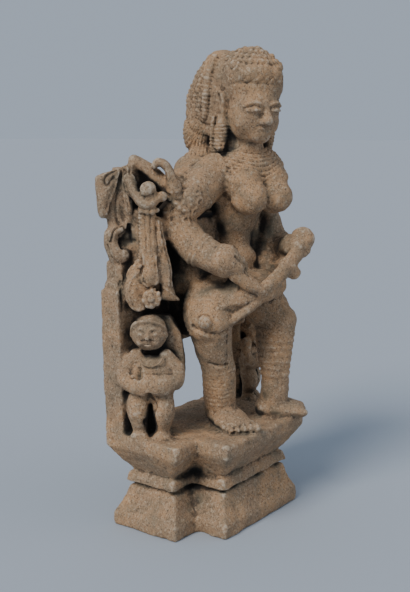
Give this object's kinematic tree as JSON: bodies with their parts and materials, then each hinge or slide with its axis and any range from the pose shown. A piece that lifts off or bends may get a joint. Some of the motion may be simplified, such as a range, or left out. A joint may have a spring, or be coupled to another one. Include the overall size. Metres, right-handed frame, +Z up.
{
  "type": "saraswati figure",
  "caption": "Carved sandstone stele of a seated goddess playing a stick zither between standing attendants, on a stepped and moulded base; display sculpture that stands on its flat underside.",
  "frame": {"origin": "middle of the flat underside of the base, on the ground", "axes": "+Z up the carving, -Y the way its front faces, +X towards the goddess's left hand"},
  "size_m": [0.244, 0.1557, 0.4989],
  "materials": {
    "sandstone": "matt weathered buff-brown sandstone, dark dirt in the recesses and pale worn edges"
  },
  "bodies": {
    "root": {"saraswati_figure": "sandstone"}
  },
  "joints": []
}
